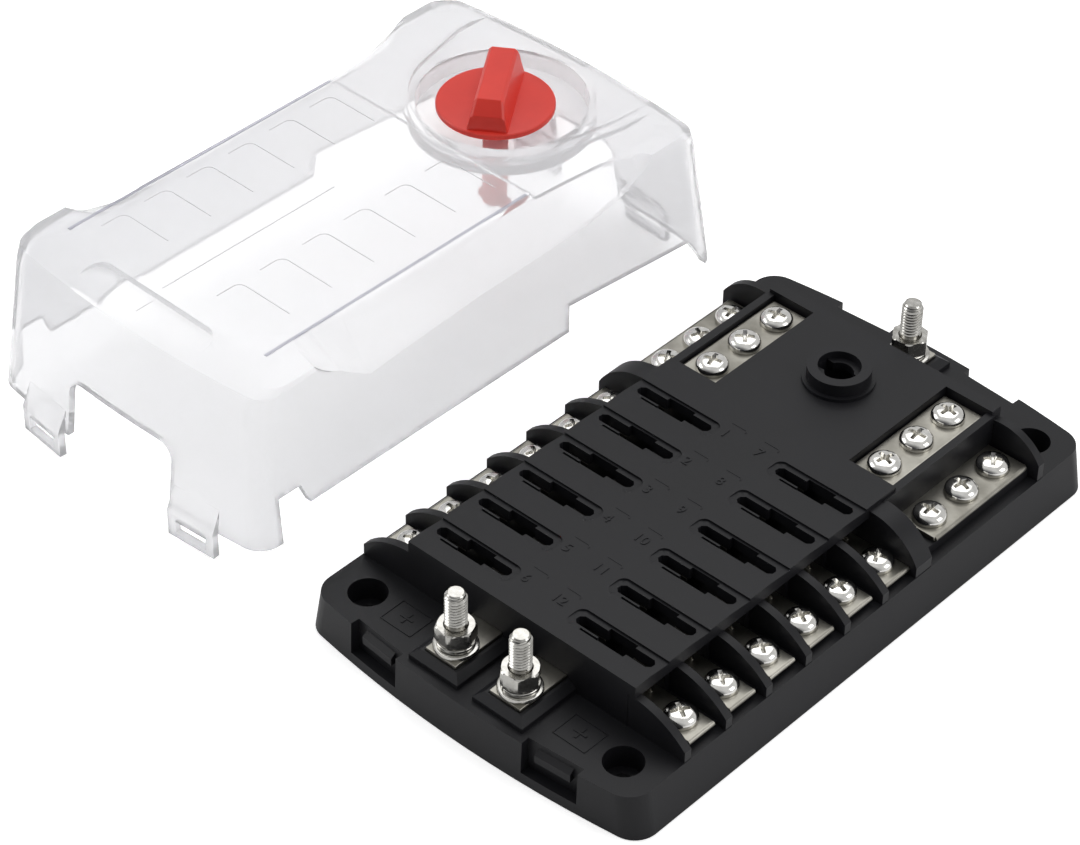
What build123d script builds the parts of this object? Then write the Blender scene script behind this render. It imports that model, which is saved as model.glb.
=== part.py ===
from build123d import *
from math import asin, degrees, sqrt
import os

# Twelve-way blade fuse holder for a car or boat, with its clear cover standing beside it.
# Millimetres. X runs across the base, Y along it towards the single negative stud, Z is up.
# The origin is the centre of the four mounting holes, on the underside.

os.makedirs("parts", exist_ok=True)

# Base plinth and deck
plinth_height = 11.2
plinth_half_width = 46.4
plinth_half_length = 80.7
plinth_side_flare = 2.0
plinth_end_flare = 0.4
plinth_corner = 6.0
end_bulge_radius = 307.0
deck_top = 23.5
deck_half_width = 32.5
deck_front = -61.5
deck_rear = 62.3
deck_plate = 3.2
wall = 2.0
side_recess = 2.0
roof = 2.4

# Mounting holes
hole_half_x = 36.9
hole_half_y = 69.6
hole_radius = 2.4
counterbore_radius = 4.5
counterbore_depth = 6.0

# Fuse cells: two columns of six
cell_pitch = 13.0
cells_per_side = 6
cell_front = -53.9
slot_centre_x = 20.2
slot_length = 21.0
slot_width = 3.0
slot_middle_length = 7.6
slot_middle_width = 5.0
slot_middle_shift = 0.5
groove_length = 4.6
groove_width = 0.6
groove_gap = 0.5
groove_depth = 1.2
pocket_depth = 0.5
pocket_reach = 1.5
pocket_half_width = 3.0
pocket_corner = 2.0
chamber_inner_x = 8.2
chamber_outer_wall = 1.2

# Terminals, their clips and the ribs along both sides
bench_height = 1.1
bench_edge = 43.6
rib_thickness = 2.0
rib_drop = 3.2
rib_end_height = 14.0
rib_end_x = 46.3
tab_width = 8.2
tab_thickness = 1.2
tab_edge = 44.1
screw_x = 38.5
blade_spacing = 12.8
clip_width = 5.2
clip_leaf = 0.6
clip_foot = 4.2
clip_gap = 0.7
clip_mouth = 2.6
clip_play = 0.15
piece_play = 0.15

# Negative bus bays
block_front = 15.2
block_rear = 20.6
bus_front = 25.0
bus_rear = 58.5
window_play = 0.7
rear_rib_y = 60.2
inner_strip_x = 25.0
inner_strip_width = 10.6
outer_strip_start = 33.9
outer_strip_end = 43.4
bus_thickness = 1.2
inner_strip_top = 21.5
outer_strip_top = 14.8
bay_wall_inner = 31.0
bay_wall_outer = 33.0
bay_wall_top = 22.5
bus_screw_front = 29.9
bus_screw_pitch = 11.4
bus_screws_per_strip = 3
outer_screw_x = 38.3

# Studs, their plates and pads
stud_x = 9.25
stud_y = 71.0
stud_radius = 2.5
stud_root_radius = 2.4
stud_root_reach = 0.4
stud_reach = 15.5
stud_chamfer = 0.7
stud_head_radius = 4.0
stud_head_thickness = 1.4
stud_plate_top = 14.6
stud_plate_thickness = 1.5
stud_plate_width = 8.8
stud_plate_end = 75.8
pad_foot_width = 14.2
pad_top_width = 10.6
pad_foot_height = 1.2
pad_end = 78.1
pad_rim = 0.7
nut_across_flats = 8.0
nut_height = 4.0
lock_washer_radius = 4.3
lock_washer_thickness = 1.3
flat_washer_radius = 5.0
flat_washer_thickness = 1.0
stud_play = 0.1

# Repeated small fasteners are drawn with this many flats, to keep the model light
small_part_sides = 8
shank_sides = 6
washer_sides = 12
slot_end_chamfer = 0.9
screw_head_radius = 3.8
screw_head_height = 2.6
screw_head_slope = 1.1
screw_shank_radius = 1.9
screw_shank_length = 4.0
screw_play = 0.1

# Lock boss in the deck
boss_y = 44.5
boss_radius = 7.45
boss_height = 4.0
boss_foot_radius = 8.45
boss_foot_height = 0.8
boss_bore_radius = 5.0
boss_mouth_depth = 2.0
ledge_thickness = 2.0
keyway_width = 3.4
boss_floor = 18.6
boss_floor_thickness = 1.6

# Latch notches in the ends of the plinth, for the tabs of the cover
front_notch_start = 18.0
front_notch_end = 32.5
rear_notch_start = 10.9
rear_notch_end = 25.9
notch_depth = 2.3
notch_sill = 2.8
catch_bottom = 6.6
catch_height = 3.0
catch_margin = 2.6
catch_depth = 1.3
catch_slope = 1.0

# Cover; heights are above the foot of its latch tabs
cover_x = -109.15
cover_y = 2.2
cover_turn = -0.8
cover_wall = 1.8
cover_half_width = 45.2
cover_half_length = 79.5
cover_side_draft = 0.08
cover_end_draft = 0.125
cover_corner = 6.0
bend_height = 41.5
brow_height = 44.8
brow_half_width = 41.7
brow_half_length = 73.0
shoulder_height = 46.2
shoulder_half_width = 41.2
shoulder_half_length = 69.4
top_height = 48.0
top_half_width = 33.0
top_half_length = 61.5
rear_step_y = 21.5
rear_step = 0.8
skirt_height = 6.2
side_edge = 12.5
side_edge_front = -60.0
side_edge_rear = 23.6
corner_notch_top = 18.5
corner_notch_front = -69.0
corner_notch_rear = -62.4
rear_edge_start = 19.6
rear_edge_end = 15.6
rear_edge_y = 66.0
rear_skirt_y = 72.0
cable_opening = 17.2
cable_opening_top = 22.0
rear_opening = 10.6
opening_corner = 4.0
tab_play = 0.35
tab_leg = 7.0
tab_blend = 12.5
window_bottom = 1.2
window_top = 4.7
window_margin = 2.2

# Scooped sides of the cover: stations along its length, edge above and edge below
scoop_stations = [-55.0, -48.0, -39.0, -30.0, -4.0, 22.0, 32.0, 42.6, 49.4, 55.2]
scoop_upper_half = [33.0, 33.0, 33.0, 33.0, 33.0, 33.0, 34.3, 35.9, 38.9, 41.9]
scoop_upper_height = [48.0, 48.0, 48.0, 48.0, 48.0, 47.9, 47.4, 47.0, 46.8, 46.6]
scoop_lower_height = [46.7, 41.3, 35.1, 35.9, 37.4, 37.8, 38.1, 39.8, 42.6, 46.4]
scoop_rise = 6.0

# Recess and well for the knob, in the top of the cover
knob_y = 44.3
rim_front_y = 24.7
rim_side_y = 44.0
rim_side_half = 23.6
rim_rear_y = 59.0
rim_rear_half = 26.8
rim_height = 46.0
well_y = 46.6
well_radius = 20.9
well_floor = 41.0
knob_hole_radius = 4.3
thumb_half_width = 20.0
thumb_start = -62.6
thumb_corner = 4.0

# Locking knob
handle_turn = 35.0
knob_disc_radius = 14.4
knob_disc_top = 46.6
knob_disc_thickness = 2.5
knob_hub_radius = 6.5
knob_lift = 0.3
handle_length = 26.0
handle_base_width = 9.0
handle_top_width = 5.6
handle_height = 7.4
handle_nose = 4.5
stem_radius = 3.9
stem_lower_radius = 3.1
stem_play = 0.3
snap_height = 1.6
snap_reach = 1.2
foot_bottom = 16.2
foot_height = 1.8
foot_reach = 4.6
foot_width = 2.9

cell_y = [cell_front + cell_pitch * i for i in range(cells_per_side)]
bus_y = [bus_screw_front + bus_screw_pitch * i for i in range(bus_screws_per_strip)]
deck_under = deck_top - deck_plate
deck_side = deck_half_width - side_recess
bench_top = plinth_height + bench_height
chamber_outer_x = deck_side - chamber_outer_wall
tab_top = bench_top + tab_thickness
bus_clip_x = slot_centre_x - blade_spacing / 2
tab_clip_x = slot_centre_x + blade_spacing / 2
bus_bottom = outer_strip_top - bus_thickness
positive_bottom = stud_plate_top - stud_plate_thickness
ledge_hole_radius = stem_lower_radius + stem_play


def block(x0, x1, y0, y1, z0, z1):
    """Box between two opposite corners, given in any order."""
    middle = Pos((x0 + x1) / 2, (y0 + y1) / 2, (z0 + z1) / 2)
    return middle * Box(abs(x1 - x0), abs(y1 - y0), abs(z1 - z0))


def rod(x, y, z0, z1, radius):
    """Upright cylinder from z0 to z1."""
    return Pos(x, y, z0) * extrude(Circle(radius), z1 - z0)


def flat_circle(radius, count=small_part_sides):
    """Regular polygon with its corners on the circle."""
    return RegularPolygon(radius, count)


def flat_hole(radius, count=small_part_sides):
    """Regular polygon with its flats on the circle, so that a round part passes."""
    return RegularPolygon(radius, count, major_radius=False)


def bulged_outline(half_width, half_length, corner):
    """Rectangle whose two short ends bow outwards, with rounded corners."""
    y = half_length - end_bulge_radius + sqrt(end_bulge_radius**2 - half_width**2)
    front = ThreePointArc((-half_width, -y), (0, -half_length), (half_width, -y))
    right = Line((half_width, -y), (half_width, y))
    rear = ThreePointArc((half_width, y), (0, half_length), (-half_width, y))
    left = Line((-half_width, y), (-half_width, -y))
    face = make_face([front, right, rear, left])
    return fillet(face.vertices(), corner)


def end_y(half_length, x):
    """How far out the bowed end lies at a given x."""
    return half_length - end_bulge_radius + sqrt(end_bulge_radius**2 - x**2)


def on_both_sides(shape):
    """A shape and its mirror image across the middle of the base."""
    return [shape, mirror(shape, Plane.YZ)]


def across(points, y0, y1):
    """Plate between y0 and y1 with a profile given in X and Z."""
    face = make_face(Polyline(points, close=True))
    return Pos(0, y1, 0) * extrude(Plane.XZ * face, y1 - y0)


# Ribs between the terminals, and the blocks that end each row

def rib(y, thickness, start_z, over, end_z):
    """Upright rib from the deck's side to the plinth's edge, with a convex top."""
    start = (deck_half_width - 0.3, start_z)
    end = (rib_end_x, end_z)
    foot = plinth_height - 0.5
    inner = deck_side - 0.5
    top = ThreePointArc(start, over, end)
    rest = Polyline(end, (rib_end_x, foot), (inner, foot), (inner, start_z), start)
    face = Plane.XZ * make_face([top, rest])
    return Pos(0, y + thickness / 2, 0) * extrude(face, thickness)


def side_ribs():
    """All ribs of the right-hand side."""
    top = deck_top - rib_drop
    ribs = rib(cell_y[0] - cell_pitch / 2, rib_thickness, top, (41.2, 17.8), rib_end_height)
    for y in cell_y[1:]:
        ribs += rib(y - cell_pitch / 2, rib_thickness, top, (41.2, 17.8), rib_end_height)
    thick = block_rear - block_front
    ribs += rib((block_front + block_rear) / 2, thick, deck_top - 1.2, (41.0, 19.9), rib_end_height)
    ribs += rib(rear_rib_y, rib_thickness, deck_top - 2.2, (41.9, 19.9), rib_end_height + 1.5)
    return ribs


# Slots in the deck

def fuse_slot(x, y):
    """Slot for one blade fuse, with its wider middle and the fine groove in front."""
    foot = deck_under - 1
    depth = deck_top + 1 - foot
    slot = Rectangle(slot_length, slot_width)
    slot = chamfer(slot.vertices(), slot_end_chamfer)
    slot += Pos(slot_middle_shift, 0) * Rectangle(slot_middle_length, slot_middle_width)
    cut = Pos(x, y, foot) * extrude(slot, depth)
    groove_y = y - slot_width / 2 - groove_gap
    groove_x = x + slot_middle_shift - slot_middle_length / 2
    cut += block(
        groove_x - groove_length,
        groove_x + 0.5,
        groove_y - groove_width,
        groove_y,
        deck_top - groove_depth,
        deck_top + 1,
    )
    return cut


def slot_step(x, y):
    """Shallow ramp round a right-hand slot, deepest behind it and open to the side."""
    inner = x - slot_length / 2 - pocket_reach
    length = deck_half_width + 1 - inner
    face = make_face(
        Polyline(
            (-pocket_half_width, deck_top),
            (pocket_half_width, deck_top - pocket_depth),
            (pocket_half_width, deck_top + 1),
            (-pocket_half_width, deck_top + 1),
            close=True,
        )
    )
    ramp = Pos(inner, y, 0) * extrude(Plane.YZ * face, length)
    plan = Rectangle(length, pocket_half_width * 2, align=(Align.MIN, Align.CENTER))
    corners = plan.vertices().sort_by(Axis.X)[:2]
    plan = fillet(corners, pocket_corner)
    return ramp & (Pos(inner, y, deck_top - 2) * extrude(plan, 4))


# Seats of the studs

def pad(x, end):
    """Moulded seat of a stud plate with sloping sides; end is -1 in front and 1 behind."""
    rim_z = stud_plate_top - stud_plate_thickness + pad_rim
    slope = (pad_foot_width - pad_top_width) / 2
    inner = abs(deck_front) - wall
    profile = make_face(
        Polyline(
            (inner, plinth_height - 0.5),
            (pad_end, plinth_height - 0.5),
            (pad_end, plinth_height + pad_foot_height),
            (pad_end - slope, rim_z),
            (inner, rim_z),
            close=True,
        )
    )
    solid = extrude(Plane.YZ * profile, pad_foot_width / 2, both=True)
    section = make_face(
        Polyline(
            (-pad_foot_width / 2, plinth_height - 1),
            (pad_foot_width / 2, plinth_height - 1),
            (pad_foot_width / 2, plinth_height + pad_foot_height),
            (pad_top_width / 2, rim_z),
            (pad_top_width / 2, rim_z + 1),
            (-pad_top_width / 2, rim_z + 1),
            (-pad_top_width / 2, rim_z),
            (-pad_foot_width / 2, plinth_height + pad_foot_height),
            close=True,
        )
    )
    solid &= Pos(0, pad_end + 1, 0) * extrude(Plane.XZ * section, pad_end + 2)
    if end < 0:
        solid = mirror(solid, Plane.XZ)
    return Pos(x, 0, 0) * solid


def pad_seat(x, end, top, thickness, inner):
    """Room for a stud plate and for the head of its stud."""
    half = stud_plate_width / 2 + piece_play
    bottom = top - thickness
    room = block(x - half, x + half, end * inner, end * (stud_plate_end + piece_play), bottom, top + 0.1)
    head = Pos(x, end * stud_y, bottom - stud_head_thickness - 0.1) * extrude(
        flat_hole(stud_head_radius + piece_play, 12), stud_head_thickness + 1
    )
    return room + head


# Latch notches and their catches

def notch_middle(start, finish):
    """Middle of a notch, and the slope of the bowed end there."""
    middle = (start + finish) / 2
    return middle, degrees(asin(middle / end_bulge_radius))


def latch_notch(start, finish):
    """Notch in the rear right corner, and the catch that stands in it."""
    middle, slope = notch_middle(start, finish)
    back = end_y(plinth_half_length, middle) - notch_depth
    half = (finish - start) / 2
    place = Pos(middle, back, 0) * Rot(0, 0, -slope)
    cut = place * block(-half, half, 0, 6, notch_sill, plinth_height + 1)
    top = catch_bottom + catch_height
    profile = make_face(
        Polyline(
            (-0.5, catch_bottom),
            (catch_depth, catch_bottom),
            (catch_depth, top - catch_slope),
            (0, top),
            (-0.5, top),
            close=True,
        )
    )
    catch = place * extrude(Plane.YZ * profile, half - catch_margin, both=True)
    return cut, catch


# Boss that the foot of the knob turns under

def lock_boss():
    top = deck_top + boss_height
    solid = rod(0, boss_y, boss_floor - boss_floor_thickness, top, boss_radius)
    solid += rod(0, boss_y, deck_top - 1, deck_top + boss_foot_height, boss_foot_radius)
    mouth = top - boss_mouth_depth
    ledge = mouth - ledge_thickness
    bore = rod(0, boss_y, mouth, top + 1, boss_bore_radius)
    bore += rod(0, boss_y, boss_floor, ledge, boss_bore_radius)
    keyway = Rectangle(boss_bore_radius * 2 - 0.2, keyway_width) + Circle(ledge_hole_radius)
    bore += Pos(0, boss_y, ledge - 0.5) * extrude(keyway, ledge_thickness + 1)
    return solid, bore


def inner_rooms():
    """Rooms open to the underside: fuse chambers, bus room and hollows in the plinth."""
    ceiling = deck_under
    half_cell = (cell_pitch - wall) / 2
    rooms = []
    # One chamber for each fuse
    for y in cell_y:
        room = block(chamber_inner_x, chamber_outer_x, y - half_cell, y + half_cell, -1, ceiling)
        # Window behind the terminal
        half_tab = tab_width / 2 + piece_play
        room += block(chamber_outer_x - 1, deck_side, y - half_tab, y + half_tab, bench_top, ceiling)
        rooms += on_both_sides(room)
    # Notches for the positive bars in the walls between the chambers
    bar_start = bus_clip_x - clip_width / 2
    bar_end = bus_clip_x + clip_width / 2
    channel = block(
        bar_start - piece_play,
        bar_end + piece_play,
        deck_front + wall,
        cell_y[-1],
        -1,
        stud_plate_top,
    )
    rooms += on_both_sides(channel)
    # Room between the two columns
    middle = chamber_inner_x - wall
    rooms.append(
        block(-middle, middle, deck_front + wall, cell_y[-1] + half_cell, -1, ceiling)
    )
    # Bus room
    front = bus_front - window_play
    rear = bus_rear + window_play
    rooms.append(block(-bay_wall_inner, bay_wall_inner, front, rear, -1, ceiling))
    # Hollows in the rim of the plinth
    floor = plinth_height - roof
    outer = plinth_half_width - wall
    inner = deck_half_width + 0.5
    for i in range(0, cells_per_side, 2):
        y0 = cell_y[i] - half_cell
        y1 = cell_y[i] + cell_pitch + half_cell
        rooms += on_both_sides(block(inner, outer, y0, y1, -1, floor))
    rooms += on_both_sides(block(inner, outer, bus_front, bus_rear - 2, -1, floor))
    end_wall = abs(deck_front) + wall
    half = front_notch_start - wall
    rooms.append(block(-half, half, -end_wall, -plinth_half_length + wall, -1, floor - 0.6))
    half = rear_notch_start - wall / 2
    rooms.append(block(-half, half, end_wall, plinth_half_length - wall, -1, floor - 0.6))
    return rooms


def base_housing():
    foot = bulged_outline(
        plinth_half_width + plinth_side_flare, plinth_half_length + plinth_end_flare, plinth_corner
    )
    crown = Pos(0, 0, plinth_height) * bulged_outline(
        plinth_half_width, plinth_half_length, plinth_corner
    )
    body = loft([foot.face(), crown.face()], ruled=True)

    # Deck with its lip along both sides, and the lower wall beside the bus bays
    added = [block(-deck_side, deck_side, deck_front, deck_rear, plinth_height - 1, deck_top)]
    added.append(
        block(-deck_half_width, deck_half_width, deck_front, deck_rear, deck_under, deck_top)
    )
    bench_start = deck_side - 1
    row_front = cell_y[0] - cell_pitch / 2
    bench = block(bench_start, bench_edge, row_front, block_front + 1, plinth_height - 1, bench_top)
    bench += block(
        bench_start, bench_edge, block_rear - 1, rear_rib_y, plinth_height - 1, bus_bottom
    )
    bench += block(
        bay_wall_inner, bay_wall_outer, block_rear - 1, rear_rib_y, plinth_height, bay_wall_top
    )
    added += on_both_sides(bench + side_ribs())
    for x, end in [(-stud_x, -1), (stud_x, -1), (0, 1)]:
        added.append(pad(x, end))
    boss, bore = lock_boss()
    body = body + added

    # Everything that is cut from it
    cuts = inner_rooms()
    strip_half = inner_strip_width / 2
    front = bus_front - window_play
    rear = bus_rear + window_play
    window_start = inner_strip_x - strip_half - window_play / 2
    window = block(window_start, bay_wall_inner, front, rear, deck_under - 1, deck_top + 1)
    window += block(
        bay_wall_inner - 0.5, deck_half_width + 2, front, rear, bay_wall_top, deck_top + 1
    )
    # The bus passes under the wall of the bay
    window += block(
        bay_wall_inner - 0.5,
        outer_strip_start,
        bus_front - piece_play,
        bus_rear + piece_play,
        bus_bottom,
        outer_strip_top,
    )
    cuts += on_both_sides(window)
    inner = -cell_y[0] + (cell_pitch - wall) / 2 - 0.5
    for x in (-stud_x, stud_x):
        cuts.append(pad_seat(x, -1, stud_plate_top, stud_plate_thickness, inner))
    cuts.append(pad_seat(0, 1, outer_strip_top, bus_thickness, bus_rear))
    for y in cell_y:
        cuts += on_both_sides(slot_step(slot_centre_x, y))
        cuts.append(fuse_slot(slot_centre_x, y))
        cuts.append(fuse_slot(-slot_centre_x, y))
    for x in (-hole_half_x, hole_half_x):
        for y in (-hole_half_y, hole_half_y):
            cuts.append(rod(x, y, -1, plinth_height + 1, hole_radius))
            floor = plinth_height - counterbore_depth
            cuts.append(rod(x, y, floor, plinth_height + 1, counterbore_radius))
    # Holes for the small screws in the benches
    tip = tab_top - tab_thickness - screw_shank_length
    shank = extrude(flat_hole(screw_shank_radius + screw_play, shank_sides), 12)
    for y in cell_y:
        cuts += on_both_sides(Pos(screw_x, y, tip) * shank)
    for y in bus_y:
        cuts += on_both_sides(Pos(outer_screw_x, y, bus_bottom - screw_shank_length) * shank)
    rear_cut, rear_catch = latch_notch(rear_notch_start, rear_notch_end)
    front_cut, front_catch = latch_notch(front_notch_start, front_notch_end)
    front_cut = mirror(front_cut, Plane.XZ)
    front_catch = mirror(front_catch, Plane.XZ)
    cuts += on_both_sides(rear_cut) + on_both_sides(front_cut)
    body = body - cuts
    body = body + on_both_sides(rear_catch) + on_both_sides(front_catch) + [boss]
    return body - bore


# Metal parts

def clip_leaves(x, y, z):
    """Two sprung leaves that stand on a plate and pinch one blade."""
    top = deck_under - clip_play
    height = top - z
    throat = height * 0.68
    foot = clip_foot / 2
    gap = clip_gap / 2
    mouth = clip_mouth / 2
    leaf = make_face(
        Polyline(
            (gap, throat),
            (mouth, height),
            (mouth + clip_leaf, height),
            (gap + clip_leaf, throat),
            (foot, -0.3),
            (foot - clip_leaf, -0.3),
            close=True,
        )
    )
    right = extrude(Plane.YZ * leaf, clip_width / 2, both=True)
    place = Pos(x, y, z)
    return [place * right, place * mirror(right, Plane.XZ)]


def output_terminal(side, y):
    """Plate under one output screw, folded up into the clip of its fuse."""
    inner = tab_clip_x - clip_width / 2
    half = tab_width / 2
    plate = block(inner, tab_edge, y - half, y + half, bench_top, tab_top)
    plate = plate + clip_leaves(tab_clip_x, y, tab_top)
    hole = extrude(flat_hole(screw_shank_radius + screw_play, shank_sides), 4)
    plate -= Pos(screw_x, y, bench_top - 1) * hole
    return plate if side > 0 else mirror(plate, Plane.YZ)


def positive_bus(side):
    """Plate under one positive stud, with a bar of six clips under the deck."""
    bar_start = bus_clip_x - clip_width / 2
    bar_end = bus_clip_x + clip_width / 2
    half = stud_plate_width / 2
    rear = cell_y[-1] + clip_width
    bottom = positive_bottom
    top = stud_plate_top
    chamber_front = cell_y[0] - (cell_pitch - wall) / 2 + piece_play
    jog_start = chamber_inner_x + piece_play
    bar = block(stud_x - half, stud_x + half, -stud_plate_end, chamber_front + 0.2, bottom, top)
    added = [block(jog_start, bar_end, chamber_front, cell_y[0], bottom, top)]
    added.append(block(bar_start, bar_end, chamber_front, rear, bottom, top))
    for y in cell_y:
        added += clip_leaves(bus_clip_x, y, top)
    bar = bar + added
    hole = extrude(flat_hole(stud_radius + stud_play), 4)
    bar -= Pos(stud_x, -stud_y, bottom - 1) * hole
    return bar if side > 0 else mirror(bar, Plane.YZ)


def negative_bus():
    """One folded sheet: a strip in each side bay, a raised strip in each deck window."""
    inner = inner_strip_x - inner_strip_width / 2
    outer = inner_strip_x + inner_strip_width / 2
    half = [
        (0, outer_strip_top),
        (inner, outer_strip_top),
        (inner, inner_strip_top),
        (outer, inner_strip_top),
        (outer, outer_strip_top),
        (outer_strip_end, outer_strip_top),
        (outer_strip_end, bus_bottom),
        (outer - bus_thickness, bus_bottom),
        (outer - bus_thickness, inner_strip_top - bus_thickness),
        (inner + bus_thickness, inner_strip_top - bus_thickness),
        (inner + bus_thickness, bus_bottom),
        (0, bus_bottom),
    ]
    sheet = across(half, bus_front, bus_rear)
    sheet += mirror(sheet, Plane.YZ)
    width = stud_plate_width / 2
    sheet += block(-width, width, bus_rear - 1, stud_plate_end, bus_bottom, outer_strip_top)
    hole = extrude(flat_hole(screw_shank_radius + screw_play, shank_sides), 3)
    holes = [Pos(0, stud_y, bus_bottom - 1) * extrude(flat_hole(stud_radius + stud_play), 4)]
    for y in bus_y:
        holes += on_both_sides(Pos(inner_strip_x, y, inner_strip_top - 2) * hole)
        holes += on_both_sides(Pos(outer_screw_x, y, outer_strip_top - 2) * hole)
    return sheet - holes


def small_screw(x, y, seat, under):
    """Pan-head screw; the seat is the plate's top, under is the plate's thickness."""
    head = extrude(flat_circle(screw_head_radius), screw_head_height)
    head = chamfer(head.edges().group_by(Axis.Z)[-1], screw_head_slope)
    length = screw_shank_length + under
    shank = Pos(0, 0, -length) * extrude(flat_circle(screw_shank_radius, shank_sides), length + 0.5)
    return Pos(x, y, seat) * (head + shank)


def stud(x, y, top, thickness):
    """Threaded stud with a flat head under its plate."""
    head_top = top - thickness
    tip = top + stud_reach
    head = Pos(x, y, head_top - stud_head_thickness) * extrude(
        flat_circle(stud_head_radius, 12), stud_head_thickness
    )
    nut_top = top + flat_washer_thickness + lock_washer_thickness + nut_height
    root_top = nut_top + stud_root_reach
    root = Pos(x, y, head_top - 0.5) * extrude(flat_circle(stud_root_radius), root_top - head_top + 1)
    shaft = rod(x, y, root_top, tip, stud_radius)
    shaft = chamfer(shaft.edges().group_by(Axis.Z)[-1], stud_chamfer)
    return head + root + shaft


def ring(x, y, z, outer, thickness):
    """Washer round a stud."""
    plan = flat_circle(outer, washer_sides) - flat_hole(stud_radius + stud_play)
    return Pos(x, y, z) * extrude(plan, thickness)


def stud_nut(x, y, z):
    plan = RegularPolygon(nut_across_flats / 2, 6, major_radius=False)
    plan -= flat_hole(stud_radius + stud_play)
    return Pos(x, y, z) * extrude(plan, nut_height)


# Cover, drawn round its own middle and then set down beside the base

def scoop(shift, drop):
    """What the scooped side takes away from the right-hand side of the cover."""
    sections = []
    reach = cover_half_width + 8
    for i, y in enumerate(scoop_stations):
        upper_x = scoop_upper_half[i]
        upper_z = scoop_upper_height[i]
        lower_z = scoop_lower_height[i]
        lower_x = cover_half_width - cover_side_draft * lower_z + 0.4
        slope = max((upper_z - lower_z) / max(lower_x - upper_x, 0.4), 0.3)
        start = (upper_x - scoop_rise / slope, upper_z + scoop_rise)
        low = (reach, lower_z - slope * (reach - lower_x))
        plan = Polyline(start, low, (reach + 1, upper_z + scoop_rise), close=True)
        section = Pos(0, y, 0) * (Plane.XZ * make_face(plan))
        sections.append(section.face())
    cut = loft(sections, ruled=True)
    return Pos(-shift, 0, -drop) * cut


def rim_plan(extra):
    """U-shaped recess round the knob, open to the rear."""
    side = rim_side_half + extra
    rear = rim_rear_half + extra
    far = cover_half_length + 10
    arc = ThreePointArc((-side, rim_side_y), (0, rim_front_y - extra), (side, rim_side_y))
    rest = Polyline(
        (side, rim_side_y),
        (rear, rim_rear_y),
        (rear, far),
        (-rear, far),
        (-rear, rim_rear_y),
        (-side, rim_side_y),
    )
    return make_face([arc, rest])


def cover_form(inset):
    """Closed outer form of the cover, or the form of its hollow for an inset of one wall."""
    foot = skirt_height - 2 * inset
    foot_size = (cover_half_width - cover_side_draft * foot, cover_half_length - cover_end_draft * foot)
    bend_size = (
        cover_half_width - cover_side_draft * bend_height,
        cover_half_length - cover_end_draft * bend_height,
    )
    levels = [
        (foot, foot_size, cover_corner),
        (bend_height - inset * 0.4, bend_size, cover_corner),
        (brow_height - inset * 0.7, (brow_half_width, brow_half_length), cover_corner - 0.5),
        (shoulder_height - inset, (shoulder_half_width, shoulder_half_length), cover_corner - 1.5),
        (top_height - inset, (top_half_width, top_half_length), cover_corner - 3.0),
    ]
    sections = []
    for z, size, corner in levels:
        plan = bulged_outline(size[0] - inset, size[1] - inset, corner - inset / 2)
        sections.append((Pos(0, 0, z) * plan).face())
    form = loft(sections, ruled=True)
    far = cover_half_length + 10
    step_z = top_height - rear_step - inset
    cuts = [block(-far, far, rear_step_y + inset, far, step_z, top_height + 5)]
    cuts.append(Pos(0, 0, rim_height - inset) * extrude(rim_plan(inset), 10))
    cuts.append(rod(0, well_y, well_floor - inset, top_height + 5, well_radius + inset))
    cuts += on_both_sides(scoop(inset * 0.755, inset * 0.656))
    return form - cuts


def latch_tab(start, finish):
    """Latch tab of the rear right corner, with the window that snaps over its catch."""
    middle, slope = notch_middle(start, finish)
    back = end_y(plinth_half_length, middle) - notch_depth + tab_play
    half = (finish - start) / 2 - tab_play
    blend = end_y(cover_half_length, middle) - cover_end_draft * tab_blend - back
    inner = blend - cover_wall * 0.8
    profile = make_face(
        Polyline(
            (0, 0),
            (cover_wall, 0),
            (cover_wall, tab_leg),
            (blend, tab_blend),
            (inner, tab_blend),
            (inner, skirt_height + 1.5),
            (0, skirt_height),
            close=True,
        )
    )
    tab = extrude(Plane.YZ * profile, half, both=True)
    tab -= block(-half + window_margin, half - window_margin, -1, 4, window_bottom, window_top)
    return Pos(middle, back, 0) * Rot(0, 0, -slope) * tab


def cover_edge():
    """What is cut from both long walls along their lower edge."""
    face = make_face(
        Polyline(
            (corner_notch_front, -1),
            (corner_notch_front, corner_notch_top),
            (corner_notch_rear, corner_notch_top),
            (side_edge_front, side_edge),
            (side_edge_rear, side_edge),
            (side_edge_rear + 0.6, rear_edge_start),
            (rear_edge_y, rear_edge_end),
            (rear_skirt_y, skirt_height),
            (rear_skirt_y, -1),
            close=True,
        )
    )
    return extrude(Plane.YZ * face, cover_half_width + 5, both=True)


def arch(half, end):
    """Opening for cables in one end of the cover, with rounded upper corners."""
    plan = Rectangle(half * 2, cable_opening_top * 2)
    plan = fillet(plan.vertices(), opening_corner)
    cut = extrude(Plane.XZ * plan, 30)
    cut = Pos(0, cover_half_length + 5, 0) * cut
    return cut if end > 0 else mirror(cut, Plane.XZ)


def clear_cover():
    shell = cover_form(0) - cover_form(cover_wall)
    cuts = [cover_edge(), arch(cable_opening, -1), arch(rear_opening, 1)]
    cuts.append(rod(0, knob_y, well_floor - 10, top_height, knob_hole_radius))
    # Shallow recess where a thumb presses on the front of the top
    thumb_front = -shoulder_half_length - 8
    plan = Pos(0, (thumb_start + thumb_front) / 2) * Rectangle(
        thumb_half_width * 2, thumb_start - thumb_front
    )
    plan = fillet(plan.vertices().sort_by(Axis.Y)[2:], thumb_corner)
    cuts.append(Pos(0, 0, shoulder_height - 0.1) * extrude(plan, 5))
    shell = shell - cuts
    tabs = on_both_sides(latch_tab(rear_notch_start, rear_notch_end))
    front = mirror(latch_tab(front_notch_start, front_notch_end), Plane.XZ)
    tabs += on_both_sides(front)
    return shell + tabs


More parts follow.
